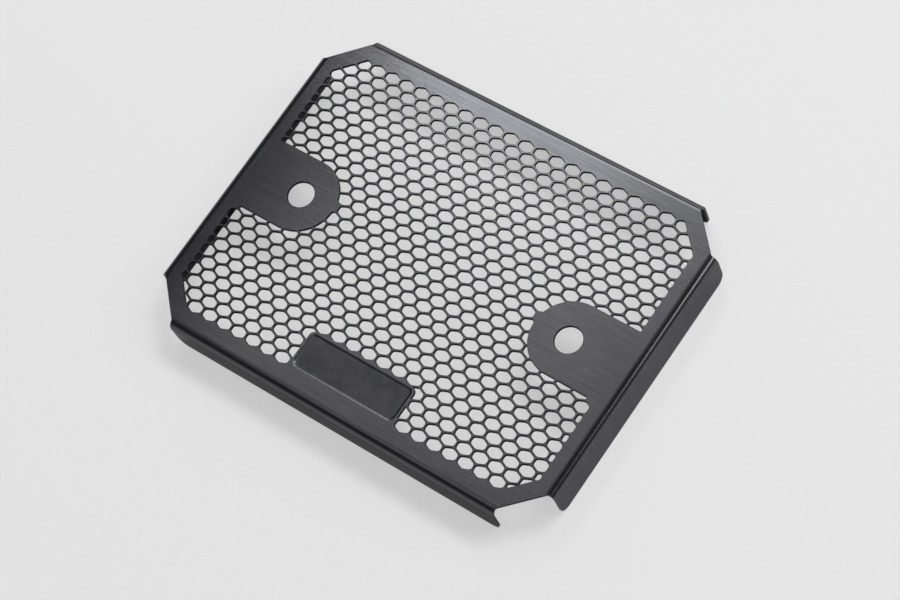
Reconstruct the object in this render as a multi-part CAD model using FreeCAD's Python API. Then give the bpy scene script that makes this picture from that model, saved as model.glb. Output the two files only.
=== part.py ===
import FreeCAD, Part
import math
import os

Vector = FreeCAD.Vector

# Sheet and its folded size, in millimetres
SHEET = 0.6
OVERALL_X = 118.0
OVERALL_Y = 88.4
FOLDED_HEIGHT = 10.2
BEND_INSIDE_RADIUS = 1.8

# Cut corners, and the flange ends beside them
CORNER_CHAMFER = 12.0
FLANGE_END_INSET = 1.6
FLANGE_END_RELIEF_RADIUS = 0.7
FLANGE_FREE_CORNER_RADIUS = 2.0

# Bolt holes, each in the round end of a plain tongue
BOLT_SPACING = 80.0
BOLT_HOLE_DIAMETER = 6.8
TONGUE_WIDTH = 19.6

# Honeycomb field and the plain borders round it: at a coarsening of 1 the cells are the real sheet's own size
REAL_CELL_PITCH = 4.531
REAL_ROW_PITCH = 2.738
FIELD_COARSENING = 1.27
BAR = 0.42
SIDE_BORDER = 5.15
LONG_BORDER = 5.5
CHAMFER_BORDER = 4.0
SMALLEST_CELL_AREA = 3.0

# Shallow recessed panel in a plain pad beside one long border
PANEL_LENGTH = 30.0
PANEL_WIDTH = 9.1
PANEL_CORNER_RADIUS = 1.0
PANEL_DEPTH = 0.3
PANEL_WALL_RUN = 0.3
PANEL_TO_LONG_EDGE = 6.9
PAD_RIM_SIDE = 0.8
PAD_RIM_INNER = 0.5

# Places worked out from the sizes above
CELL_PITCH = REAL_CELL_PITCH * FIELD_COARSENING
ROW_PITCH = REAL_ROW_PITCH * FIELD_COARSENING
BEND_OUTSIDE_RADIUS = BEND_INSIDE_RADIUS + SHEET
HALF_X = OVERALL_X / 2
HALF_Y = OVERALL_Y / 2
FLAT_X = HALF_X - BEND_OUTSIDE_RADIUS
FLAT_Y = HALF_Y - BEND_OUTSIDE_RADIUS
CHAMFER_REACH = HALF_X + HALF_Y - CORNER_CHAMFER
SIDE_FLANGE_END = CHAMFER_REACH - (HALF_X - FLANGE_END_INSET)
LONG_FLANGE_END = CHAMFER_REACH - (HALF_Y - FLANGE_END_INSET)
TOP = FOLDED_HEIGHT


def on_top(x, y):
    """The point of the sheet's top plane at x, y."""
    return Vector(x, y, TOP)


def corner_arc(before, corner, after, radius):
    """The arc that rounds a corner, as its two ends and its middle."""
    into = (before - corner).normalize()
    out = (after - corner).normalize()
    half_angle = into.getAngle(out) / 2
    middle = (into + out).normalize()
    tangent = radius / math.tan(half_angle)
    to_arc = radius / math.sin(half_angle) - radius
    return corner + into * tangent, corner + middle * to_arc, corner + out * tangent


def rounded_wire(points, radii):
    """A closed outline through the points, with each corner rounded by its radius, or sharp at 0."""
    edges = []
    ends = []
    for i, corner in enumerate(points):
        if radii[i] > 0:
            start, middle, end = corner_arc(points[i - 1], corner, points[(i + 1) % len(points)], radii[i])
            edges.append(Part.Arc(start, middle, end).toShape())
        else:
            start, end = corner, corner
        ends.append((start, end))
    for i, (start, end) in enumerate(ends):
        edges.append(Part.makeLine(end, ends[(i + 1) % len(ends)][0]))
    return Part.Wire(Part.__sortEdges__(edges))


def octagon(half_x, half_y, reach):
    """A rectangle on the top plane with its corners cut where x plus y is reach."""
    quarter = [(half_x, reach - half_x), (reach - half_y, half_y)]
    points = [on_top(x, y) for x, y in quarter]
    points += [on_top(-x, y) for x, y in reversed(quarter)]
    points += [on_top(-x, -y) for x, y in quarter]
    points += [on_top(x, -y) for x, y in reversed(quarter)]
    return Part.makePolygon(points + points[:1])


def plan_outline():
    """The folded sheet seen from above: flanges on four sides, chamfers run in to their ends."""
    quarter = [
        (HALF_X, SIDE_FLANGE_END, 0),
        (HALF_X - FLANGE_END_INSET, SIDE_FLANGE_END, FLANGE_END_RELIEF_RADIUS),
        (LONG_FLANGE_END, HALF_Y - FLANGE_END_INSET, FLANGE_END_RELIEF_RADIUS),
        (LONG_FLANGE_END, HALF_Y, 0),
    ]
    corners = list(quarter)
    corners += [(-x, y, r) for x, y, r in reversed(quarter)]
    corners += [(-x, -y, r) for x, y, r in quarter]
    corners += [(x, -y, r) for x, y, r in reversed(quarter)]
    return rounded_wire([Vector(x, y, 0) for x, y, r in corners], [r for x, y, r in corners])


def tongue(side):
    """The plain tongue that carries a bolt hole, from its round end out to the sheet's edge."""
    half = TONGUE_WIDTH / 2
    centre = side * BOLT_SPACING / 2
    ends = [on_top(centre, half), on_top(side * HALF_X, half), on_top(side * HALF_X, -half), on_top(centre, -half)]
    edges = [Part.makeLine(a, b) for a, b in zip(ends, ends[1:])]
    edges.append(Part.Arc(ends[3], on_top(centre - side * half, 0), ends[0]).toShape())
    return Part.Face(Part.Wire(edges))


def panel_limits(grow_side, grow_inner):
    """Half length, inner and outer places of the panel's outline, grown at its ends and inner side."""
    outer = -HALF_Y + PANEL_TO_LONG_EDGE
    return PANEL_LENGTH / 2 + grow_side, outer + PANEL_WIDTH + grow_inner, outer


def pad():
    """The plain ground round the panel, joined to the long border."""
    half, inner, outer = panel_limits(PAD_RIM_SIDE, PAD_RIM_INNER)
    corners = [on_top(-half, -HALF_Y), on_top(half, -HALF_Y), on_top(half, inner), on_top(-half, inner)]
    return Part.Face(Part.makePolygon(corners + corners[:1]))


def panel_outline(inset, z):
    """The panel's rounded outline at a height, drawn in by inset."""
    half, inner, outer = panel_limits(-inset, -inset)
    low = outer + inset
    corners = [Vector(-half, low, z), Vector(half, low, z), Vector(half, inner, z), Vector(-half, inner, z)]
    return rounded_wire(corners, [PANEL_CORNER_RADIUS - inset] * 4)


def panel_recess():
    """The panel's hollow: a flat floor inside sloped walls."""
    mouth = panel_outline(0, TOP)
    floor = panel_outline(PANEL_WALL_RUN, TOP - PANEL_DEPTH)
    return Part.makeLoft([mouth, floor], True, True)


def cell_face(x, y):
    """One open cell: a hexagon stretched along X, drawn in from its share of the field by half a bar."""
    slope = (ROW_PITCH / 3) / (CELL_PITCH / 2)
    half_width = (CELL_PITCH - BAR) / 2
    peak = ROW_PITCH * 2 / 3 - BAR / 2 * math.hypot(1, slope)
    shoulder = peak - slope * half_width
    corners = [(0, peak), (-half_width, shoulder), (-half_width, -shoulder)]
    corners += [(0, -peak), (half_width, -shoulder), (half_width, shoulder)]
    points = [on_top(x + dx, y + dy) for dx, dy in corners]
    return Part.Face(Part.makePolygon(points + points[:1]))


def honeycomb_cells():
    """All open cells: whole rows between the long borders, cut by the other borders, tongues and pad."""
    half_x = HALF_X - SIDE_BORDER
    half_y = HALF_Y - LONG_BORDER
    reach = CHAMFER_REACH - CHAMFER_BORDER * math.sqrt(2)
    field = Part.Face(octagon(half_x, half_y, reach)).cut([tongue(-1), tongue(1), pad()])
    rows = int((2 * half_y - ROW_PITCH * 4 / 3 + BAR) / ROW_PITCH) + 1
    columns = int(half_x / CELL_PITCH) + 2
    cells = []
    for row in range(rows):
        y = (row - (rows - 1) / 2) * ROW_PITCH
        shift = CELL_PITCH / 2 * (row % 2)
        cells += [cell_face(shift + column * CELL_PITCH, y) for column in range(-columns, columns + 1)]
    open_cells = Part.makeCompound(cells).common(field)
    return [cell for cell in open_cells.Faces if cell.Area > SMALLEST_CELL_AREA]


def perforated_plate():
    """The flat part of the sheet between the bends, with its cells, bolt holes and panel."""
    holes = honeycomb_cells()
    for side in (-1, 1):
        circle = Part.makeCircle(BOLT_HOLE_DIAMETER / 2, on_top(side * BOLT_SPACING / 2, 0))
        holes.append(Part.Face(Part.Wire(circle)))
    flat = Part.Face(octagon(FLAT_X, FLAT_Y, CHAMFER_REACH)).cut(Part.makeCompound(holes))
    return flat.extrude(Vector(0, 0, -SHEET)).cut(panel_recess())


def bent_flange(half_run):
    """A bend and its upright flange along Y, the bend starting at x = 0 and turning down from +X."""
    outer, inner = BEND_OUTSIDE_RADIUS, BEND_INSIDE_RADIUS
    centre = Vector(0, -half_run, TOP - outer)
    diagonal = Vector(1, 0, 1).normalize()
    edges = [
        Part.Arc(centre + Vector(0, 0, outer), centre + diagonal * outer, centre + Vector(outer, 0, 0)).toShape(),
        Part.makeLine(centre + Vector(outer, 0, 0), Vector(outer, -half_run, 0)),
        Part.makeLine(Vector(outer, -half_run, 0), Vector(inner, -half_run, 0)),
        Part.makeLine(Vector(inner, -half_run, 0), centre + Vector(inner, 0, 0)),
        Part.Arc(centre + Vector(inner, 0, 0), centre + diagonal * inner, centre + Vector(0, 0, inner)).toShape(),
        Part.makeLine(centre + Vector(0, 0, inner), centre + Vector(0, 0, outer)),
    ]
    section = Part.Face(Part.Wire(edges))
    return section.extrude(Vector(0, 2 * half_run, 0))


def round_free_corners(flange):
    """Rounds the flange's two free corners, whose short edges cross the sheet at its lower end."""
    corners = []
    for edge in flange.Edges:
        low = edge.BoundBox.ZMax < SHEET / 2
        across = abs(edge.Length - SHEET) < SHEET / 100
        if low and across:
            corners.append(edge)
    return flange.makeFillet(FLANGE_FREE_CORNER_RADIUS, corners)


def flanges():
    """The four bent flanges, trimmed to the plan outline and rounded at their free corners."""
    plan = Part.Face(plan_outline()).extrude(Vector(0, 0, TOP))
    side_run = CHAMFER_REACH - FLAT_X
    long_run = CHAMFER_REACH - FLAT_Y
    bends = []
    for turn, half_run, reach in ((0, side_run, FLAT_X), (90, long_run, FLAT_Y)):
        for half_turn in (0, 180):
            flange = bent_flange(half_run)
            flange.translate(Vector(reach, 0, 0))
            flange.rotate(Vector(0, 0, 0), Vector(0, 0, 1), turn + half_turn)
            bends.append(round_free_corners(flange.common(plan)))
    return bends


def regulator_guard():
    """The whole guard: one sheet, perforated, folded down on four sides."""
    return perforated_plate().fuse(flanges()).removeSplitter()


os.makedirs("parts", exist_ok=True)
guard = regulator_guard().Solids[0]
guard.exportStep("parts/regulator_guard.step")
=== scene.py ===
"""A folded and perforated voltage regulator guard, dressed for a studio picture.

One black sheet is folded down along its four sides over clipped corners.  Its
top is a honeycomb grille with two bolt tongues and one bare recessed panel.
All modelling is done in millimetres and brought to metres at the end.
"""

import logging
import math
from dataclasses import dataclass, field
from enum import Enum
from typing import Any, Callable, Dict, Optional, Sequence, Tuple, Union

import bpy
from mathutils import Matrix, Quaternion, Vector


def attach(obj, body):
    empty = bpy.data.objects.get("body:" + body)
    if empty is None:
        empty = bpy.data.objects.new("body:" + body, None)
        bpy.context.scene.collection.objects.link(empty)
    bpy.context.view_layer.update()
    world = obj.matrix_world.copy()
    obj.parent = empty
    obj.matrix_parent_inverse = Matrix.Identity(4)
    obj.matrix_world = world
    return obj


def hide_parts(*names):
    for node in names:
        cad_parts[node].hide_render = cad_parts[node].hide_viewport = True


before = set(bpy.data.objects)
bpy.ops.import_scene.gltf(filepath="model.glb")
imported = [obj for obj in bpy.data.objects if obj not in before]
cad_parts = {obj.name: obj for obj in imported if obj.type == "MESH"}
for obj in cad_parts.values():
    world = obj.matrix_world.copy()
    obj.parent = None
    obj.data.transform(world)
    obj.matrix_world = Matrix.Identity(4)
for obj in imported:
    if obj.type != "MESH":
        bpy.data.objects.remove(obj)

LOG = logging.getLogger("regulator_guard")
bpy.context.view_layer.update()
METRES = 0.001

Point = Tuple[float, float, float]
Colour = Tuple[float, float, float]

# Places clear of the sheet, to which the punches that cut right through it run.
CLEAR_X = 80.0
CLEAR_Y = 60.0
CLEAR_BELOW = -5.0
CLEAR_ABOVE = 20.0

# A face with this much of its normal upwards, or downwards, counts as level.
LEVEL = 0.9


class Cut(Enum):
    """What a Boolean modifier does with its tool."""

    TAKE_AWAY = "DIFFERENCE"
    KEEP_COMMON = "INTERSECT"
    ADD = "UNION"


class Pick(Enum):
    """What edit mode selects."""

    EDGES = "EDGE"
    FACES = "FACE"


class Bench:
    """Hand tools: each works on one named piece with Blender's operators."""

    @staticmethod
    def clear() -> None:
        """Leave edit mode and deselect every object."""
        if bpy.context.object is not None and bpy.context.object.mode != "OBJECT":
            bpy.ops.object.mode_set(mode="OBJECT")
        bpy.ops.object.select_all(action="DESELECT")

    @staticmethod
    def hold(piece: bpy.types.Object) -> None:
        """Make one piece the only selected and active object.

        Args:
            piece: The object that the next operators work on.
        """
        Bench.clear()
        piece.select_set(True)
        bpy.context.view_layer.objects.active = piece

    @staticmethod
    def box(name: str, low: Point, high: Point) -> bpy.types.Object:
        """Add a block between two corners.

        Args:
            name: Name of the new object.
            low: Lowest corner, in millimetres.
            high: Highest corner, in millimetres.

        Returns:
            The block, with its place in its mesh.
        """
        Bench.clear()
        middle = [(a + b) / 2 for a, b in zip(low, high)]
        size = [b - a for a, b in zip(low, high)]
        bpy.ops.mesh.primitive_cube_add(size=1.0, location=middle)
        block = bpy.context.object
        block.name = name
        block.scale = size
        Bench.settle(block)
        return block

    @staticmethod
    def rod(name: str, centre: Point, radius: float, depth: float, sides: int) -> bpy.types.Object:
        """Add an upright round bar.

        Args:
            name: Name of the new object.
            centre: Its middle, in millimetres.
            radius: Its radius.
            depth: Its height.
            sides: How many flats stand for the round.

        Returns:
            The bar, with its place in its mesh.
        """
        Bench.clear()
        bpy.ops.mesh.primitive_cylinder_add(vertices=sides, radius=radius, depth=depth, location=centre)
        bar = bpy.context.object
        bar.name = name
        Bench.settle(bar)
        return bar

    @staticmethod
    def settle(piece: bpy.types.Object) -> None:
        """Put a piece's place, turn and scale into its mesh."""
        Bench.hold(piece)
        bpy.ops.object.transform_apply(location=True, rotation=True, scale=True)

    @staticmethod
    def edit(piece: bpy.types.Object, kind: Pick) -> None:
        """Open a piece in edit mode with nothing selected."""
        Bench.hold(piece)
        bpy.ops.object.mode_set(mode="EDIT")
        bpy.ops.mesh.select_mode(type=kind.value)
        bpy.ops.mesh.select_all(action="DESELECT")

    @staticmethod
    def pick_edges(piece: bpy.types.Object, wanted: Callable[[Vector, Vector], bool]) -> int:
        """Open a piece in edit mode with some of its edges selected.

        Args:
            piece: The object to open.
            wanted: Says of an edge's two ends whether it is selected.

        Returns:
            How many edges are selected.
        """
        Bench.edit(piece, Pick.EDGES)
        bpy.ops.object.mode_set(mode="OBJECT")
        points = piece.data.vertices
        found = 0
        for edge in piece.data.edges:
            edge.select = wanted(points[edge.vertices[0]].co, points[edge.vertices[1]].co)
            found += edge.select
        bpy.ops.object.mode_set(mode="EDIT")
        return found

    @staticmethod
    def pick_faces(piece: bpy.types.Object, wanted: Callable[[bpy.types.MeshPolygon], bool]) -> None:
        """Open a piece in edit mode with some of its faces selected.

        Args:
            piece: The object to open.
            wanted: Says of a face whether it is selected.
        """
        Bench.edit(piece, Pick.FACES)
        bpy.ops.object.mode_set(mode="OBJECT")
        for face in piece.data.polygons:
            face.select = wanted(face)
        bpy.ops.object.mode_set(mode="EDIT")

    @staticmethod
    def bevel(reach: float, segments: int) -> None:
        """Bevel the selected edges; 1 segment gives a flat chamfer."""
        bpy.ops.mesh.bevel(
            offset=reach,
            offset_type="OFFSET",
            segments=segments,
            profile=0.5,
            affect="EDGES",
            clamp_overlap=False,
        )

    @staticmethod
    def round_edges(
        piece: bpy.types.Object, wanted: Callable[[Vector, Vector], bool], reach: float, segments: int
    ) -> None:
        """Bevel the edges that a test picks.

        Args:
            piece: The object to work on.
            wanted: Says of an edge's two ends whether it is bevelled.
            reach: Distance from the edge to where the bevel starts.
            segments: Steps across the bevel; 1 is a flat chamfer.
        """
        if Bench.pick_edges(piece, wanted):
            Bench.bevel(reach, segments)
        Bench.clear()

    @staticmethod
    def modify(piece: bpy.types.Object, kind: str, **settings: Any) -> None:
        """Add a modifier, set it and apply it.

        Args:
            piece: The object to change.
            kind: Blender's name for the modifier.
            **settings: Values of the modifier's own properties.
        """
        Bench.hold(piece)
        modifier = piece.modifiers.new(kind.title(), kind)
        for name, value in settings.items():
            setattr(modifier, name, value)
        bpy.ops.object.modifier_apply(modifier=modifier.name)

    @staticmethod
    def combine(piece: bpy.types.Object, tool: bpy.types.Object, cut: Cut) -> None:
        """Change a piece by a tool, which is used up.

        Args:
            piece: The object to change.
            tool: The object that cuts or joins.
            cut: What is done with the tool.
        """
        Bench.modify(piece, "BOOLEAN", operation=cut.value, object=tool, solver="EXACT")
        spent = tool.data
        bpy.data.objects.remove(tool)
        bpy.data.meshes.remove(spent)

    @staticmethod
    def mirror(piece: bpy.types.Object, over_x: bool, over_y: bool) -> None:
        """Repeat a piece on the other side of the middle planes.

        Args:
            piece: The object to repeat.
            over_x: Repeat it at the other end.
            over_y: Repeat it at the other long side.
        """
        Bench.modify(piece, "MIRROR", use_axis=(over_x, over_y, False), use_mirror_merge=False)
        Bench.edit(piece, Pick.FACES)
        bpy.ops.mesh.select_all(action="SELECT")
        bpy.ops.mesh.normals_make_consistent(inside=False)
        Bench.clear()


def close(a: float, b: float, within: float = 0.01) -> bool:
    """Say whether two lengths are the same, within a hundredth unless told."""
    return abs(a - b) < within


@dataclass
class FoldedSheet:
    """The sheet with its four folded flanges, before anything is cut in it."""

    thickness: float = 0.6
    half_x: float = 59.0
    half_y: float = 44.2
    top: float = 10.2
    bend_inside: float = 1.8
    notch_x: float = 48.6
    notch_y: float = 33.8
    notch_clip: float = 8.8
    notch_relief: float = 0.29
    free_corner: float = 2.6
    edge_break: float = 0.07
    sharp_edge: float = 50.0
    fold_steps: int = 12
    relief_steps: int = 4
    corner_steps: int = 8
    break_steps: int = 2

    @property
    def bend_outside(self) -> float:
        """Outer radius of the folds."""
        return self.bend_inside + self.thickness

    def tray(self) -> bpy.types.Object:
        """Fold the sheet: a rounded block less its rounded inside.

        Returns:
            The tray, still with square corners.
        """
        tray = Bench.box(
            "guard_sheet", (-self.half_x, -self.half_y, 0.0), (self.half_x, self.half_y, self.top)
        )
        Bench.round_edges(
            tray,
            lambda a, b: close(a.z, self.top) and close(b.z, self.top),
            self.bend_outside,
            self.fold_steps,
        )
        inside_top = self.top - self.thickness
        hollow = Bench.box(
            "inside",
            (self.thickness - self.half_x, self.thickness - self.half_y, CLEAR_BELOW),
            (self.half_x - self.thickness, self.half_y - self.thickness, inside_top),
        )
        Bench.round_edges(
            hollow,
            lambda a, b: close(a.z, inside_top) and close(b.z, inside_top),
            self.bend_inside,
            self.fold_steps,
        )
        Bench.combine(tray, hollow, Cut.TAKE_AWAY)
        return tray

    def corner_tool(self) -> bpy.types.Object:
        """Shape the punch that clips the four corners.

        Returns:
            The punch, standing at all four corners.
        """
        punch = Bench.box(
            "corner_punch", (self.notch_x, self.notch_y, CLEAR_BELOW), (CLEAR_X, CLEAR_Y, CLEAR_ABOVE)
        )
        Bench.round_edges(
            punch,
            lambda a, b: all(close(p.x, self.notch_x) and close(p.y, self.notch_y) for p in (a, b)),
            self.notch_clip,
            1,
        )
        clip_ends = (
            (self.notch_x + self.notch_clip, self.notch_y),
            (self.notch_x, self.notch_y + self.notch_clip),
        )
        Bench.round_edges(
            punch,
            lambda a, b: any(all(close(p.x, x) and close(p.y, y) for p in (a, b)) for x, y in clip_ends),
            self.notch_relief,
            self.relief_steps,
        )
        Bench.mirror(punch, True, True)
        return punch

    def is_free_corner(self, a: Vector, b: Vector) -> bool:
        """Say whether an edge crosses the sheet at a flange's lower corner.

        Args:
            a: One end of the edge.
            b: Its other end.

        Returns:
            True for the short edges at the ends of the lower rims.
        """
        if not (close(a.z, 0.0) and close(b.z, 0.0)):
            return False
        across_side = close(abs(a.y), self.notch_y) and close(abs(b.y), self.notch_y)
        across_long = close(abs(a.x), self.notch_x) and close(abs(b.x), self.notch_x)
        return (across_side or across_long) and (a - b).length < 2 * self.thickness

    def build(self) -> bpy.types.Object:
        """Make the folded sheet.

        Returns:
            The sheet with clipped corners and eased edges.
        """
        sheet = self.tray()
        Bench.combine(sheet, self.corner_tool(), Cut.TAKE_AWAY)
        Bench.round_edges(sheet, self.is_free_corner, self.free_corner, self.corner_steps)
        Bench.edit(sheet, Pick.EDGES)
        bpy.ops.mesh.edges_select_sharp(sharpness=math.radians(self.sharp_edge))
        Bench.bevel(self.edge_break, self.break_steps)
        Bench.clear()
        return sheet


@dataclass
class BoltTongues:
    """The two plain tongues that carry the bolt holes."""

    hole_x: float = 40.0
    hole_radius: float = 3.4
    half_width: float = 9.8
    end_sides: int = 96
    hole_sides: int = 72

    def plain_area(self, low: float, high: float) -> bpy.types.Object:
        """Stand a block on the tongues, where the sheet has no cells.

        Args:
            low: Height of the block's foot.
            high: Height of its head.

        Returns:
            A block with a round inner end, at both sides.
        """
        block = Bench.box("tongue", (self.hole_x, -self.half_width, low), (CLEAR_X, self.half_width, high))
        middle = (self.hole_x, 0.0, (low + high) / 2)
        end = Bench.rod("tongue_end", middle, self.half_width, high - low, self.end_sides)
        Bench.combine(block, end, Cut.ADD)
        Bench.mirror(block, True, False)
        return block

    def drill(self, sheet: bpy.types.Object, low: float, high: float) -> None:
        """Drill both bolt holes.

        Args:
            sheet: The sheet to drill.
            low: Height of the drill's foot.
            high: Height of its head.
        """
        middle = (self.hole_x, 0.0, (low + high) / 2)
        drill = Bench.rod("bolt_drill", middle, self.hole_radius, high - low, self.hole_sides)
        Bench.mirror(drill, True, False)
        Bench.combine(sheet, drill, Cut.TAKE_AWAY)


@dataclass
class BarePanel:
    """The shallow recessed panel at one long side, left bare."""

    half_length: float = 15.0
    low_y: float = -37.3
    high_y: float = -28.2
    depth: float = 0.3
    wall_run: float = 0.3
    corner: float = 1.0
    foot_round: float = 0.14
    rim_side: float = 0.8
    rim_inner: float = 0.5
    rim_roll: float = 0.2
    lip_reach: float = 0.45
    lip_slope: float = 0.06
    rim_steps: int = 5
    corner_steps: int = 6
    fine_steps: int = 3

    def plain_area(self, low: float, high: float) -> bpy.types.Object:
        """Stand a block on the panel and its rim, where there are no cells.

        Args:
            low: Height of the block's foot.
            high: Height of its head.

        Returns:
            The block, which runs out over the border.
        """
        side = self.half_length + self.rim_side
        inner = self.high_y + self.rim_inner
        block = Bench.box("panel_rim", (-side, -CLEAR_Y, low), (side, inner, high))
        Bench.round_edges(
            block,
            lambda a, b: close(a.y, inner) and close(b.y, inner) and not close(a.z, b.z),
            self.corner + self.rim_inner,
            self.rim_steps,
        )
        return block

    def covers(self, place: Vector, margin: float = 0.02) -> bool:
        """Say whether a point is over the panel, or nearer to it than a margin."""
        along = abs(place.x) <= self.half_length + margin
        return along and self.low_y - margin <= place.y <= self.high_y + margin

    def roll_rim(self, sheet: bpy.types.Object, top: float) -> None:
        """Roll over the upper rim of the pressed panel.

        Args:
            sheet: The sheet with the panel pressed in.
            top: Height of the sheet's upper face.
        """
        Bench.round_edges(
            sheet,
            lambda a, b: all(close(p.z, top) and self.covers(p) for p in (a, b)),
            self.rim_roll,
            self.fine_steps,
        )

    def is_lip(self, place: Vector, normal: Vector, top: float) -> bool:
        """Say whether a face is on the panel's outer lip, which looks inwards."""
        at_edge = abs(place.y - self.low_y) < self.lip_reach and self.covers(place, self.lip_reach)
        return at_edge and normal.y > self.lip_slope and place.z > top - self.depth / 2

    def holds(self, place: Vector, top: float) -> bool:
        """Say whether a point is on the sunk floor or the walls of the panel."""
        return self.covers(place) and place.z < top - 0.01

    def tool(self, top: float) -> bpy.types.Object:
        """Shape the punch that presses the panel.

        Args:
            top: Height of the sheet's upper face.

        Returns:
            A tapered punch with round corners.
        """
        floor = top - self.depth
        head = top + self.depth
        spread = self.wall_run
        punch = Bench.box(
            "panel_punch",
            (-self.half_length - spread, self.low_y - spread, floor),
            (self.half_length + spread, self.high_y + spread, head),
        )
        Bench.round_edges(punch, lambda a, b: not close(a.z, b.z), self.corner + spread, self.corner_steps)
        Bench.pick_faces(punch, lambda face: face.normal.z < -LEVEL)
        long, wide = 2 * (self.half_length + spread), self.high_y - self.low_y + 2 * spread
        bpy.ops.transform.resize(value=((long - 4 * spread) / long, (wide - 4 * spread) / wide, 1.0))
        Bench.clear()
        Bench.round_edges(
            punch,
            lambda a, b: close(a.z, floor) and close(b.z, floor),
            self.foot_round,
            self.fine_steps,
        )
        return punch


@dataclass
class HoneycombField:
    """The grille: rows of lying hexagonal cells, cut off at its borders."""

    pitch: float = 4.531
    row: float = 2.738
    bar: float = 0.57
    rows: int = 28
    columns: int = 25
    corner_reach: float = 0.40
    half_x: float = 53.65
    half_y: float = 38.7
    clip: float = 7.007
    smallest: float = 1.0
    rim_break: float = 0.16
    reach_shares: Tuple[float, ...] = (2.0, 1.5, 1.2, 1.0, 0.8, 0.6, 0.45, 0.3, 0.2)
    plain_turn: float = 68.0
    least_turn: float = 20.0
    side_share: float = 0.94
    corner_steps: int = 2

    def cell(self, low: float, high: float) -> bpy.types.Object:
        """Shape the punch for one cell.

        Args:
            low: Height of the punch's foot.
            high: Height of its head.

        Returns:
            A six-sided punch with sharp upright edges.
        """
        Bench.clear()
        bpy.ops.mesh.primitive_circle_add(vertices=6, radius=1.0, fill_type="NGON", location=(0.0, 0.0, low))
        punch = bpy.context.object
        punch.name = "cell_punch"
        Bench.settle(punch)
        bpy.ops.object.mode_set(mode="EDIT")
        bpy.ops.mesh.select_mode(type=Pick.FACES.value)
        bpy.ops.mesh.select_all(action="SELECT")
        half_length = self.pitch / 2 / math.cos(math.radians(30.0))
        bpy.ops.transform.resize(value=(half_length, self.row * 2 / 3, 1.0))
        bpy.ops.mesh.inset(thickness=self.bar / 2, use_even_offset=True)
        bpy.ops.mesh.select_all(action="INVERT")
        bpy.ops.mesh.delete(type="FACE")
        bpy.ops.mesh.select_all(action="SELECT")
        bpy.ops.mesh.extrude_region_move(TRANSFORM_OT_translate={"value": (0.0, 0.0, high - low)})
        bpy.ops.mesh.select_all(action="SELECT")
        bpy.ops.mesh.normals_make_consistent(inside=False)
        Bench.clear()
        return punch

    def all_cells(self, low: float, high: float) -> bpy.types.Object:
        """Repeat the cell over the whole field.

        Args:
            low: Height of the punches' feet.
            high: Height of their heads.

        Returns:
            Every cell of every row in one object.
        """
        cells = self.cell(low, high)
        steps = (
            (2, (self.pitch / 2, self.row, 0.0)),
            (self.columns, (self.pitch, 0.0, 0.0)),
            (self.rows // 2, (0.0, 2 * self.row, 0.0)),
        )
        for count, step in steps:
            Bench.modify(
                cells,
                "ARRAY",
                count=count,
                use_relative_offset=False,
                use_constant_offset=True,
                constant_offset_displace=step,
            )
        cells.location = (-self.pitch * (self.columns // 2), -self.row * (self.rows - 1) / 2, 0.0)
        Bench.settle(cells)
        return cells

    def limit(self, low: float, high: float) -> bpy.types.Object:
        """Shape the block that holds the field's outline.

        Args:
            low: Height of the block's foot.
            high: Height of its head.

        Returns:
            A block with clipped corners.
        """
        block = Bench.box(
            "field_limit", (-self.half_x, -self.half_y, low), (self.half_x, self.half_y, high)
        )
        Bench.round_edges(block, lambda a, b: not close(a.z, b.z), self.clip, 1)
        return block

    def round_corners(self, cells: bpy.types.Object) -> None:
        """Round every upright edge, less where the sides beside it are short.

        A side is shared between its two corners by how sharply they turn, so
        that a small cut cell comes out as an even pill.

        Args:
            cells: The cells, cut off at the borders.
        """
        reaches = [self.corner_reach * share for share in self.reach_shares]
        sorted_corners: Dict[float, set] = {reach: set() for reach in reaches}
        points = cells.data.vertices
        for face in cells.data.polygons:
            if face.normal.z < LEVEL:
                continue
            ring = [points[index].co.copy() for index in face.vertices]
            for corner, room in zip(ring, self.corner_rooms(ring)):
                fitting = [reach for reach in reaches if reach <= room]
                if fitting:
                    sorted_corners[fitting[0]].add((round(corner.x, 3), round(corner.y, 3)))
        for reach, corners in sorted_corners.items():
            Bench.round_edges(
                cells,
                lambda a, b: not close(a.z, b.z) and (round(a.x, 3), round(a.y, 3)) in corners,
                reach,
                self.corner_steps,
            )

    def corner_rooms(self, ring: Sequence[Vector]) -> Sequence[float]:
        """Work out how far each corner of a cell may be rounded.

        Args:
            ring: The cell's corners in order.

        Returns:
            The longest reach for each corner; 0 where it hardly turns.
        """
        plain_turn = math.tan(math.radians(self.plain_turn / 2))
        least_turn = math.tan(math.radians(self.least_turn / 2))
        count = len(ring)
        sides = [ring[(place + 1) % count] - ring[place] for place in range(count)]
        turns = [math.tan(sides[place - 1].angle(sides[place], 0.0) / 2) for place in range(count)]
        rooms = []
        for place, turn in enumerate(turns):
            if turn < least_turn:
                rooms.append(0.0)
                continue
            share = self.side_share * turn
            rooms.append(
                min(
                    share * sides[place - 1].length / (turn + turns[place - 1]),
                    share * sides[place].length / (turn + turns[(place + 1) % count]),
                    self.corner_reach * max(1.0, turn / plain_turn) + 0.001,
                )
            )
        return rooms

    def drop_slivers(self, cells: bpy.types.Object) -> int:
        """Delete cells that the borders leave too small.

        Args:
            cells: The cells, each one an island of the mesh.

        Returns:
            How many cells stay.
        """
        leader = list(range(len(cells.data.vertices)))

        def root(index: int) -> int:
            """Follow a point to the one that stands for its island."""
            while leader[index] != index:
                leader[index] = leader[leader[index]]
                index = leader[index]
            return index

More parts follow.
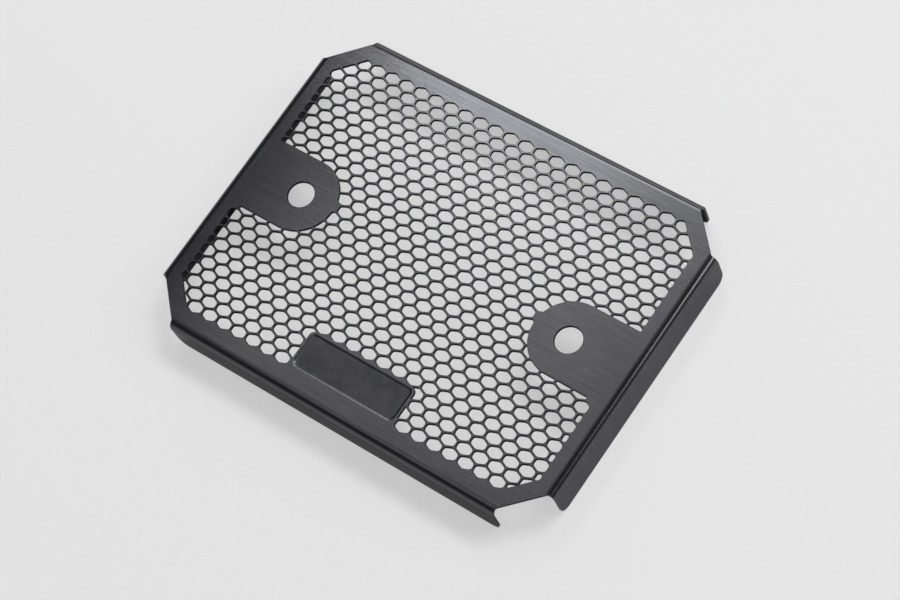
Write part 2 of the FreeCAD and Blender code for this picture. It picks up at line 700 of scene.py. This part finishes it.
        for edge in cells.data.edges:
            leader[root(edge.vertices[0])] = root(edge.vertices[1])
        area: Dict[int, float] = {}
        for face in cells.data.polygons:
            island = root(face.vertices[0])
            area[island] = area.get(island, 0.0) + (face.area if face.normal.z > LEVEL else 0.0)
        small = {island for island, size in area.items() if size < self.smallest}
        Bench.pick_faces(cells, lambda face: root(face.vertices[0]) in small)
        bpy.ops.mesh.delete(type="FACE")
        Bench.clear()
        return len(area) - len(small)


class Face(Enum):
    """The sheet's surfaces, by the slot of their finish."""

    SHEET = 0
    CUT_WALL = 1
    RIM = 2
    PANEL = 3
    PANEL_LIP = 4


@dataclass
class RegulatorGuard:
    """The whole guard: one sheet, cut, pressed and dressed."""

    sheet: FoldedSheet = field(default_factory=FoldedSheet)
    tongues: BoltTongues = field(default_factory=BoltTongues)
    panel: BarePanel = field(default_factory=BarePanel)
    grille: HoneycombField = field(default_factory=HoneycombField)
    punch_margin: float = 1.0
    fold_margin: float = 0.5
    wall_slope: float = 0.3
    flat_slope: float = 0.97
    smooth_angle: float = 32.0
    normal_weight: int = 80

    def cells(self, low: float, high: float) -> bpy.types.Object:
        """Make the punches for all cells, cut off at the plain areas.

        Args:
            low: Height of the punches' feet.
            high: Height of their heads.

        Returns:
            The punches.
        """
        margin = self.punch_margin
        limit = self.grille.limit(low - margin, high + margin)
        for plain in (self.tongues, self.panel):
            Bench.combine(limit, plain.plain_area(low - 2 * margin, high + 2 * margin), Cut.TAKE_AWAY)
        cells = self.grille.all_cells(low, high)
        Bench.combine(cells, limit, Cut.KEEP_COMMON)
        LOG.info("grille: %d cells", self.grille.drop_slivers(cells))
        self.grille.round_corners(cells)
        return cells

    def in_field(self, place: Vector) -> bool:
        """Say whether a point is in the cut part of the top, inside the folds."""
        border = self.sheet.bend_outside + self.fold_margin
        return abs(place.x) < self.sheet.half_x - border and abs(place.y) < self.sheet.half_y - border

    def ease_cells(self, guard: bpy.types.Object) -> None:
        """Break the upper rims of the cells and the bolt holes.

        Args:
            guard: The cut sheet.
        """
        top = self.sheet.top
        walls: set = set()
        for face in guard.data.polygons:
            if abs(face.normal.z) < self.wall_slope and self.in_field(face.center):
                walls.update(face.edge_keys)
        Bench.edit(guard, Pick.EDGES)
        bpy.ops.object.mode_set(mode="OBJECT")
        points = guard.data.vertices
        for edge in guard.data.edges:
            at_top = all(close(points[index].co.z, top, 0.001) for index in edge.vertices)
            edge.select = at_top and edge.key in walls
        bpy.ops.object.mode_set(mode="EDIT")
        Bench.bevel(self.grille.rim_break, 1)
        Bench.clear()

    def sort_faces(self, guard: bpy.types.Object) -> None:
        """Give each face the slot of its finish.

        Args:
            guard: The cut and eased sheet.
        """
        for face in guard.data.polygons:
            face.material_index = self.kind_of(face.center, face.normal).value

    def kind_of(self, place: Vector, normal: Vector) -> Face:
        """Say what surface a face belongs to.

        Args:
            place: The face's centre.
            normal: Where it looks.

        Returns:
            The kind of surface.
        """
        top = self.sheet.top
        if not self.in_field(place):
            return Face.SHEET
        # Cut walls take a near-black that paints their shade.
        if abs(normal.z) < self.wall_slope:
            return Face.CUT_WALL
        # Lip faces that look back towards the lamps get the lighter black, a painted highlight.
        if self.panel.is_lip(place, normal, top):
            return Face.PANEL_LIP
        if self.panel.holds(place, top):
            return Face.PANEL
        if self.panel.covers(place, 2 * self.panel.rim_roll):
            return Face.SHEET
        # Sloped rims take a near-black that paints their shade; level faces keep the sheet's finish.
        return Face.RIM if self.wall_slope <= normal.z < self.flat_slope else Face.SHEET

    def build(self, finishes: Sequence[bpy.types.Material]) -> bpy.types.Object:
        """Model the guard in millimetres and bring it to metres.

        Args:
            finishes: The finishes, in the order of their slots.

        Returns:
            The finished sheet, at the origin and in metres.
        """
        top = self.sheet.top
        low, high = top - self.sheet.thickness - self.punch_margin, top + self.punch_margin
        guard = self.sheet.build()
        LOG.info("folded sheet: %d faces", len(guard.data.polygons))
        Bench.combine(guard, self.cells(low, high), Cut.TAKE_AWAY)
        self.tongues.drill(guard, low, high)
        self.ease_cells(guard)
        Bench.combine(guard, self.panel.tool(top), Cut.TAKE_AWAY)
        self.panel.roll_rim(guard, top)
        guard.data.materials.clear()
        for finish in finishes:
            guard.data.materials.append(finish)
        self.sort_faces(guard)
        Bench.hold(guard)
        bpy.ops.object.shade_smooth_by_angle(angle=math.radians(self.smooth_angle))
        Bench.modify(guard, "WEIGHTED_NORMAL", keep_sharp=True, weight=self.normal_weight)
        guard.scale = (METRES, METRES, METRES)
        Bench.settle(guard)
        LOG.info("guard: %d faces", len(guard.data.polygons))
        return guard

    def tie(self, guard: bpy.types.Object) -> None:
        """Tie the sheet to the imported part.

        Args:
            guard: The finished sheet.
        """
        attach(guard, "root")
        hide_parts("regulator_guard")


Number = Union[float, "Signal"]


class Signal:
    """A number that varies over a surface; Python's operators add Math nodes."""

    def __init__(self, shader: "Shader", socket: bpy.types.NodeSocket) -> None:
        """Wrap one output socket of a shader's nodes."""
        self.shader = shader
        self.socket = socket

    def maths(self, operation: str, *others: Number) -> "Signal":
        """Add a Math node that starts from this number."""
        return self.shader.maths(operation, self, *others)

    def __add__(self, other: Number) -> "Signal":
        """Add."""
        return self.maths("ADD", other)

    def __radd__(self, other: float) -> "Signal":
        """Add, from the right."""
        return self.maths("ADD", other)

    def __sub__(self, other: Number) -> "Signal":
        """Subtract."""
        return self.maths("SUBTRACT", other)

    def __rsub__(self, other: float) -> "Signal":
        """Subtract this from a plain number."""
        return self.shader.maths("SUBTRACT", other, self)

    def __mul__(self, other: Number) -> "Signal":
        """Multiply."""
        return self.maths("MULTIPLY", other)

    def __rmul__(self, other: float) -> "Signal":
        """Multiply, from the right."""
        return self.maths("MULTIPLY", other)

    def __gt__(self, other: Number) -> "Signal":
        """Give 1 where this is larger, else 0."""
        return self.maths("GREATER_THAN", other)


class Shader:
    """The nodes of one material or world."""

    def __init__(self, tree: bpy.types.NodeTree) -> None:
        """Start with an empty tree."""
        tree.nodes.clear()
        self.tree = tree

    def node(
        self,
        kind: str,
        settings: Optional[Dict[str, Any]] = None,
        inputs: Optional[Dict[Any, Any]] = None,
    ) -> bpy.types.Node:
        """Add a node.

        Args:
            kind: Blender's name for the node.
            settings: Properties of the node, set first; stops are a ramp's.
            inputs: Values, sockets or signals by the input's name or number.

        Returns:
            The new node.
        """
        made = self.tree.nodes.new(kind)
        for name, value in (settings or {}).items():
            if name == "stops":
                self.set_stops(made, value)
            else:
                setattr(made, name, value)
        for name, value in (inputs or {}).items():
            if isinstance(value, Signal):
                value = value.socket
            if isinstance(value, bpy.types.NodeSocket):
                self.tree.links.new(value, made.inputs[name])
            else:
                made.inputs[name].default_value = value
        return made

    @staticmethod
    def set_stops(ramp: bpy.types.Node, stops: Sequence[Tuple[float, float]]) -> None:
        """Set a ramp's grey stops as (place, value)."""
        elements = ramp.color_ramp.elements
        while len(elements) < len(stops):
            elements.new(1.0)
        for element, (place, value) in zip(elements, stops):
            element.position = place
            element.color = (value, value, value, 1.0)

    def signal(self, node: bpy.types.Node, output: Union[str, int] = 0) -> Signal:
        """Wrap a node's output."""
        return Signal(self, node.outputs[output])

    def maths(self, operation: str, *values: Number) -> Signal:
        """Add a Math node.

        Args:
            operation: Blender's name for the operation.
            *values: Its one, two or three inputs.

        Returns:
            The result.
        """
        made = self.node("ShaderNodeMath", {"operation": operation}, dict(enumerate(values)))
        return self.signal(made)

    def place(self) -> Tuple[Signal, Signal, Signal]:
        """Give the point's place on the piece, in millimetres."""
        spot = self.node("ShaderNodeTexCoord")
        parts = self.node("ShaderNodeSeparateXYZ", None, {0: spot.outputs["Object"]})
        x, y, z = (self.signal(parts, axis) * (1.0 / METRES) for axis in range(3))
        return x, y, z

    def show(self, body: bpy.types.Node) -> None:
        """Join a finished surface to the material's output."""
        self.node("ShaderNodeOutputMaterial", None, {"Surface": body.outputs[0]})

    def noise(self, place: Sequence[Number], detail: float, roughness: float) -> Signal:
        """Add soft random variation around 0.5.

        Args:
            place: Where on the pattern, by three numbers.
            detail: How many finer layers there are.
            roughness: How strong the finer layers are.

        Returns:
            The variation.
        """
        spot = self.node("ShaderNodeCombineXYZ", None, dict(enumerate(place)))
        made = self.node(
            "ShaderNodeTexNoise",
            {"noise_dimensions": "3D"},
            {"Vector": spot.outputs[0], "Scale": 1.0, "Detail": detail, "Roughness": roughness},
        )
        return self.signal(made, 0)

    def ramp(self, value: Signal, stops: Sequence[Tuple[float, float]]) -> Signal:
        """Reshape a value by a ramp of grey stops."""
        made = self.node("ShaderNodeValToRGB", {"stops": stops}, {"Fac": value})
        return self.signal(made, 0)

    def blend(self, share: Number, first: Any, second: Any) -> bpy.types.NodeSocket:
        """Mix two colours.

        Args:
            share: 0 gives the first colour, 1 the second.
            first: Colour or socket.
            second: Colour or socket.

        Returns:
            The mixed colour.
        """
        made = self.node("ShaderNodeMix", {"data_type": "RGBA"}, {0: share, 6: first, 7: second})
        return made.outputs[2]


def new_material(name: str, plain: Colour) -> Tuple[bpy.types.Material, Shader]:
    """Start a material.

    Args:
        name: Its name.
        plain: Its colour where no nodes are shown.

    Returns:
        The material and its empty nodes.
    """
    made = bpy.data.materials.new(name)
    made.use_nodes = True
    made.diffuse_color = (*plain, 1.0)
    return made, Shader(made.node_tree)


@dataclass(frozen=True)
class BrushedBlack:
    """Black finish over hairline-brushed steel, the lines along the length."""

    dark: Colour = (0.074, 0.075, 0.081)
    light: Colour = (0.130, 0.131, 0.141)
    edge_tint: Colour = (0.66, 0.66, 0.66)
    metallic: float = 1.0
    roughness: float = 0.13

    def material(self, sheet: FoldedSheet) -> bpy.types.Material:
        """Make the material.

        Args:
            sheet: The sheet, for where its folds are.

        Returns:
            The material.
        """
        made, shader = new_material("brushed_black", self.dark)
        along, across = self.unfolded(shader, sheet)
        hair = shader.noise((along * 0.035, across * 4.6, 0.0), 3.0, 0.6)
        streak = shader.noise((along * 0.07, across * 2.4, 7.0), 3.0, 0.7)
        cloud = shader.noise((along * 0.06, across * 0.06, 3.0), 3.0, 0.55)
        tone = shader.ramp(hair * 0.25 + streak * 0.55 + cloud * 0.2, ((0.32, 0.0), (0.68, 1.0)))
        colour = shader.blend(tone, (*self.dark, 1.0), (*self.light, 1.0))
        rough = self.roughness + (hair - 0.5) * 0.08 + (cloud - 0.5) * 0.06
        bump = shader.node("ShaderNodeBump", None, {"Strength": 1.0, "Distance": 0.000008, "Height": hair})
        body = shader.node(
            "ShaderNodeBsdfPrincipled",
            None,
            {
                "Base Color": colour,
                "Roughness": rough,
                "Metallic": self.metallic,
                "Specular Tint": (*self.edge_tint, 1.0),
                "Normal": bump.outputs[0],
            },
        )
        shader.show(body)
        return made

    @staticmethod
    def unfolded(shader: Shader, sheet: FoldedSheet) -> Tuple[Signal, Signal]:
        """Find a point's place on the flat sheet before it was folded.

        Args:
            shader: The material's nodes.
            sheet: The sheet, for where its folds are.

        Returns:
            The place along and across the brush lines, in millimetres.
        """
        x, y, z = shader.place()
        drop = sheet.top - z
        on_side = x.maths("ABSOLUTE") > (sheet.half_x - sheet.bend_outside)
        along = x + x.maths("SIGN") * drop * on_side
        across = y + y.maths("SIGN") * drop * (1.0 - on_side)
        return along, across


@dataclass(frozen=True)
class PaintedShadeBlack:
    """The dull black of the etched cell walls and their eased rims, far darker than the sheet's own black:
    painted shade.
    """

    name: str = "wall_painted_shade"
    # Near-black, well below the sheet's black, to paint the shade in the walls and on the rims.
    colour: Colour = (0.006, 0.006, 0.007)
    roughness: float = 0.7

    def material(self) -> bpy.types.Material:
        """Make the material."""
        made, shader = new_material(self.name, self.colour)
        x, y, z = shader.place()
        grain = shader.noise((x * 3.0, y * 3.0, z * 3.0), 2.0, 0.5)
        tint = shader.blend(grain, (*self.colour, 1.0), (*(2 * c for c in self.colour), 1.0))
        body = shader.node(
            "ShaderNodeBsdfPrincipled",
            None,
            {"Base Color": tint, "Roughness": self.roughness, "Specular IOR Level": 0.1},
        )
        shader.show(body)
        return made


@dataclass(frozen=True)
class EtchedBlack:
    """The sunk panel: the same black, etched and not brushed."""

    dark: Colour = (0.060, 0.061, 0.066)
    light: Colour = (0.094, 0.095, 0.101)
    edge_tint: Colour = (0.35, 0.35, 0.35)
    metallic: float = 1.0
    roughness: float = 0.34

    def material(self) -> bpy.types.Material:
        """Make the material."""
        made, shader = new_material("etched_black", self.dark)
        x, y, z = shader.place()
        cloud = shader.noise((x * 0.22, y * 0.22, z), 4.0, 0.6)
        grain = shader.noise((x * 5.0, y * 5.0, z), 2.0, 0.5)
        tone = shader.ramp(cloud, ((0.3, 0.0), (0.7, 1.0)))
        tint = shader.blend(tone, (*self.dark, 1.0), (*self.light, 1.0))
        bump = shader.node("ShaderNodeBump", None, {"Strength": 0.4, "Distance": 0.00002, "Height": grain})
        body = shader.node(
            "ShaderNodeBsdfPrincipled",
            None,
            {
                "Base Color": tint,
                "Roughness": self.roughness + (cloud - 0.5) * 0.12,
                "Metallic": self.metallic,
                "Specular Tint": (*self.edge_tint, 1.0),
                "Normal": bump.outputs[0],
            },
        )
        shader.show(body)
        return made


@dataclass(frozen=True)
class LipPaintedHighlight:
    """The panel's outer lip, which faces the back lamps: a lighter copy of the black, which paints a
    highlight there.
    """

    # Far lighter than the sheet's own black: a painted highlight on the lip.
    dark: Colour = (0.15, 0.15, 0.155)
    light: Colour = (0.22, 0.22, 0.225)
    edge_tint: Colour = (0.6, 0.6, 0.6)
    metallic: float = 1.0
    roughness: float = 0.2

    def material(self) -> bpy.types.Material:
        """Make the material."""
        made, shader = new_material("lip_painted_highlight", self.dark)
        x, y, z = shader.place()
        highlight_mottle = shader.noise((x * 0.5, y * 0.5, z * 0.5), 3.0, 0.6)
        tint = shader.blend(highlight_mottle, (*self.dark, 1.0), (*self.light, 1.0))
        body = shader.node(
            "ShaderNodeBsdfPrincipled",
            None,
            {
                "Base Color": tint,
                "Roughness": self.roughness,
                "Metallic": self.metallic,
                "Specular Tint": (*self.edge_tint, 1.0),
            },
        )
        shader.show(body)
        return made


class Facing(Enum):
    """Where a lamp shines."""

    DOWN = "straight down"
    GUARD = "at the guard"


@dataclass
class Softbox:
    """One soft lamp, in metres and watts."""

    name: str
    place: Point
    size: Tuple[float, float]
    power: float
    facing: Facing = Facing.DOWN

    def build(self) -> None:
        """Hang the lamp."""
        Bench.clear()
        bpy.ops.object.light_add(type="AREA", location=self.place)
        lamp = bpy.context.object
        lamp.name = self.name
        lamp.data.shape = "RECTANGLE"
        lamp.data.size, lamp.data.size_y = self.size
        lamp.data.energy = self.power
        place = Vector(self.place)
        aim = Vector((place.x, place.y, 0.0)) if self.facing is Facing.DOWN else Vector()
        lamp.rotation_euler = (aim - place).to_track_quat("-Z", "Y").to_euler()
        LOG.info("lamp: %s, %s", self.name, self.facing.value)


@dataclass
class Studio:
    """Floor, light and camera."""

    floor_half: float = 3.0
    floor_tone: Colour = (0.82, 0.82, 0.825)
    floor_glow: float = 0.58
    backdrop_tone: Colour = (0.82, 0.82, 0.825)
    ambient: float = 0.11
    walls: float = 0.50
    walls_rise: float = 0.34
    lamps: Tuple[Softbox, ...] = (
        Softbox("back_left_panel", (-0.586, 0.485, 1.0), (0.092, 0.27), 0.39),
        Softbox("back_middle_panel", (-0.490, 0.465, 1.0), (0.10, 0.27), 0.30),
        Softbox("back_right_panel", (-0.390, 0.465, 1.0), (0.10, 0.27), 0.123),
        Softbox("back_far_panel", (-0.490, 0.950, 1.0), (0.30, 0.70), 2.67),
        Softbox("left_near_panel", (-0.480, 0.235, 1.0), (0.28, 0.19), 0.155),
        Softbox("left_edge_panel", (-0.590, 0.215, 1.0), (0.08, 0.23), 0.07),
        Softbox("left_front_panel", (-0.480, -0.350, 1.0), (0.28, 0.90), 0.38),
        Softbox("middle_panel", (-0.170, 0.250, 1.0), (0.34, 0.50), 0.19),
        Softbox("right_back_softbox", (0.500, 1.250, 1.7), (1.00, 0.60), 27.0),
        Softbox("right_low_panel", (1.000, 0.400, 0.8), (0.40, 0.40), 0.18, Facing.GUARD),
        Softbox("front_softbox", (0.500, -0.500, 1.6), (0.80, 0.80), 4.6, Facing.GUARD),
        Softbox("rear_low_panel", (-0.800, 1.600, 0.45), (1.40, 0.90), 3.6, Facing.GUARD),
        Softbox("right_far_softbox", (1.200, 0.900, 1.0), (0.80, 0.80), 7.0, Facing.GUARD),
    )
    aim: Point = (0.009372, -0.005264, 0.010278)
    distance: float = 0.642762
    azimuth: float = 62.1529
    elevation: float = 60.5707
    roll: float = 30.0418
    focal_pixels: float = 2753.45
    picture_width: float = 900.0
    film_width: float = 36.0

    def lay_floor(self) -> None:
        """Lay the plain pale floor under the guard."""
        Bench.clear()
        bpy.ops.mesh.primitive_plane_add(size=2 * self.floor_half, location=(0.0, 0.0, 0.0))
        floor = bpy.context.object
        floor.name = "studio_floor"
        made, shader = new_material("pale_floor", self.floor_tone)
        tone = (*self.floor_tone, 1.0)
        seen = shader.signal(shader.node("ShaderNodeLightPath"), "Is Camera Ray")
        paint = shader.node("ShaderNodeBsdfDiffuse", None, {"Color": tone})
        glow = shader.node("ShaderNodeEmission", None, {"Color": tone, "Strength": 1.0})
        shader.show(self.mix(shader, seen * self.floor_glow, paint, glow))
        floor.data.materials.append(made)

    @staticmethod
    def mix(shader: Shader, share: Signal, first: bpy.types.Node, second: bpy.types.Node) -> bpy.types.Node:
        """Mix two surfaces or surroundings; a share of 1 gives the second."""
        inputs = {0: share, 1: first.outputs[0], 2: second.outputs[0]}
        return shader.node("ShaderNodeMixShader", None, inputs)

    def light(self) -> None:
        """Set the pale surroundings and hang the lamps."""
        world = bpy.data.worlds.new("studio")
        bpy.context.scene.world = world
        world.use_nodes = True
        shader = Shader(world.node_tree)
        white = (1.0, 1.0, 1.0)
        levels = ((self.backdrop_tone, 1.0), (white, self.ambient), (white, self.walls))
        shown, ceiling, walls = (
            shader.node("ShaderNodeBackground", None, {"Color": (*tone, 1.0), "Strength": level})
            for tone, level in levels
        )
        seen = shader.signal(shader.node("ShaderNodeLightPath"), "Is Camera Ray")
        direction = shader.node("ShaderNodeTexCoord").outputs["Generated"]
        height = shader.signal(shader.node("ShaderNodeSeparateXYZ", None, {0: direction}), "Z")
        room = self.mix(shader, 1.0 - height * (1.0 / self.walls_rise), ceiling, walls)
        both = self.mix(shader, seen, room, shown)
        shader.node("ShaderNodeOutputWorld", None, {"Surface": both.outputs[0]})
        for lamp in self.lamps:
            lamp.build()

    def place_camera(self) -> None:
        """Set the camera to the photograph's view."""
        turn, rise = math.radians(self.azimuth), math.radians(self.elevation)
        level_reach = math.cos(rise)
        back = Vector((math.sin(turn) * level_reach, -math.cos(turn) * level_reach, math.sin(rise)))
        Bench.clear()
        bpy.ops.object.camera_add(location=Vector(self.aim) + back * self.distance)
        camera = bpy.context.object
        camera.name = "picture_camera"
        camera.rotation_mode = "QUATERNION"
        level = (-back).to_track_quat("-Z", "Y")
        camera.rotation_quaternion = Quaternion(-back, math.radians(self.roll)) @ level
        camera.data.sensor_width = self.film_width
        camera.data.lens = self.film_width * self.focal_pixels / self.picture_width
        camera.data.clip_start = 0.01
        camera.data.clip_end = 50.0
        bpy.context.scene.camera = camera

    def build(self) -> None:
        """Set up floor, light, camera and plain colour handling."""
        self.lay_floor()
        self.light()
        self.place_camera()
        bpy.context.scene.view_settings.view_transform = "Standard"


def dressing(sheet: FoldedSheet) -> Tuple[bpy.types.Material, ...]:
    """Make the finishes in the order of their slots.

    Args:
        sheet: The sheet, for where its folds are.

    Returns:
        One material for each kind of face.
    """
    return (
        BrushedBlack().material(sheet),
        # Walls and rims take a near-black that paints their shade.
        PaintedShadeBlack().material(),
        PaintedShadeBlack("rim_painted_shade", (0.007, 0.007, 0.008), 0.6).material(),
        EtchedBlack().material(),
        # The lip takes a lighter black that paints a highlight.
        LipPaintedHighlight().material(),
    )


def main() -> None:
    """Build the guard and its studio in order."""
    logging.basicConfig(level=logging.INFO, format="%(name)s: %(message)s")
    guard = RegulatorGuard()
    finishes = dressing(guard.sheet)
    sheet = guard.build(finishes)
    guard.tie(sheet)
    LOG.info("dressed: %s", sheet.name)
    Studio().build()


if __name__ == "__main__":
    main()
